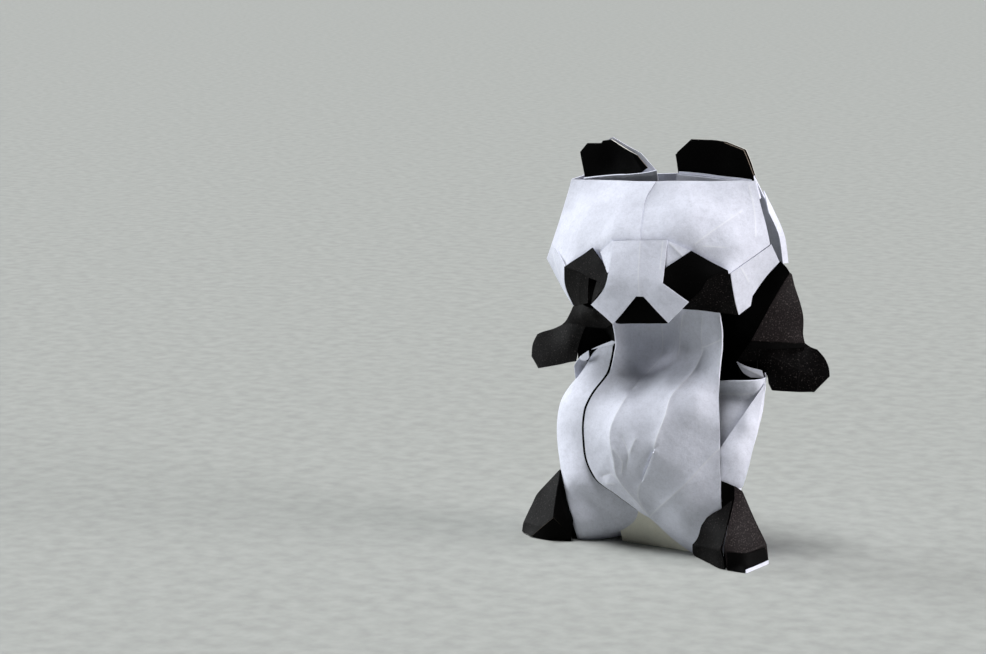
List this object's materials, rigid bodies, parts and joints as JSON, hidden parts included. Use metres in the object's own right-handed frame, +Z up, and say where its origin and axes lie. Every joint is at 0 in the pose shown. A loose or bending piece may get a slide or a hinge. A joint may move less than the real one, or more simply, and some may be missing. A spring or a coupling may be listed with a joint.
{
  "type": "origami panda",
  "caption": "Standing panda folded from a sheet of black and white paper, with a hollow head and body, a raised muzzle, rounded ears and pointed feet.",
  "frame": {"origin": "centre of the bounding box, on the floor that the feet and the back hem stand on", "axes": "+Z up from the feet to the ears, the face looks along -Y, and +X is the side of the lower, wider arm, on the right as seen from in front"},
  "size_m": [0.0646, 0.0244, 0.0785],
  "materials": {
    "white_side": "matte uncoated paper, the white side of the sheet",
    "black_side": "matte printed paper with pale fibres, the black side of the sheet"
  },
  "bodies": {
    "root": {"folded_panda": "white_side"}
  },
  "joints": []
}
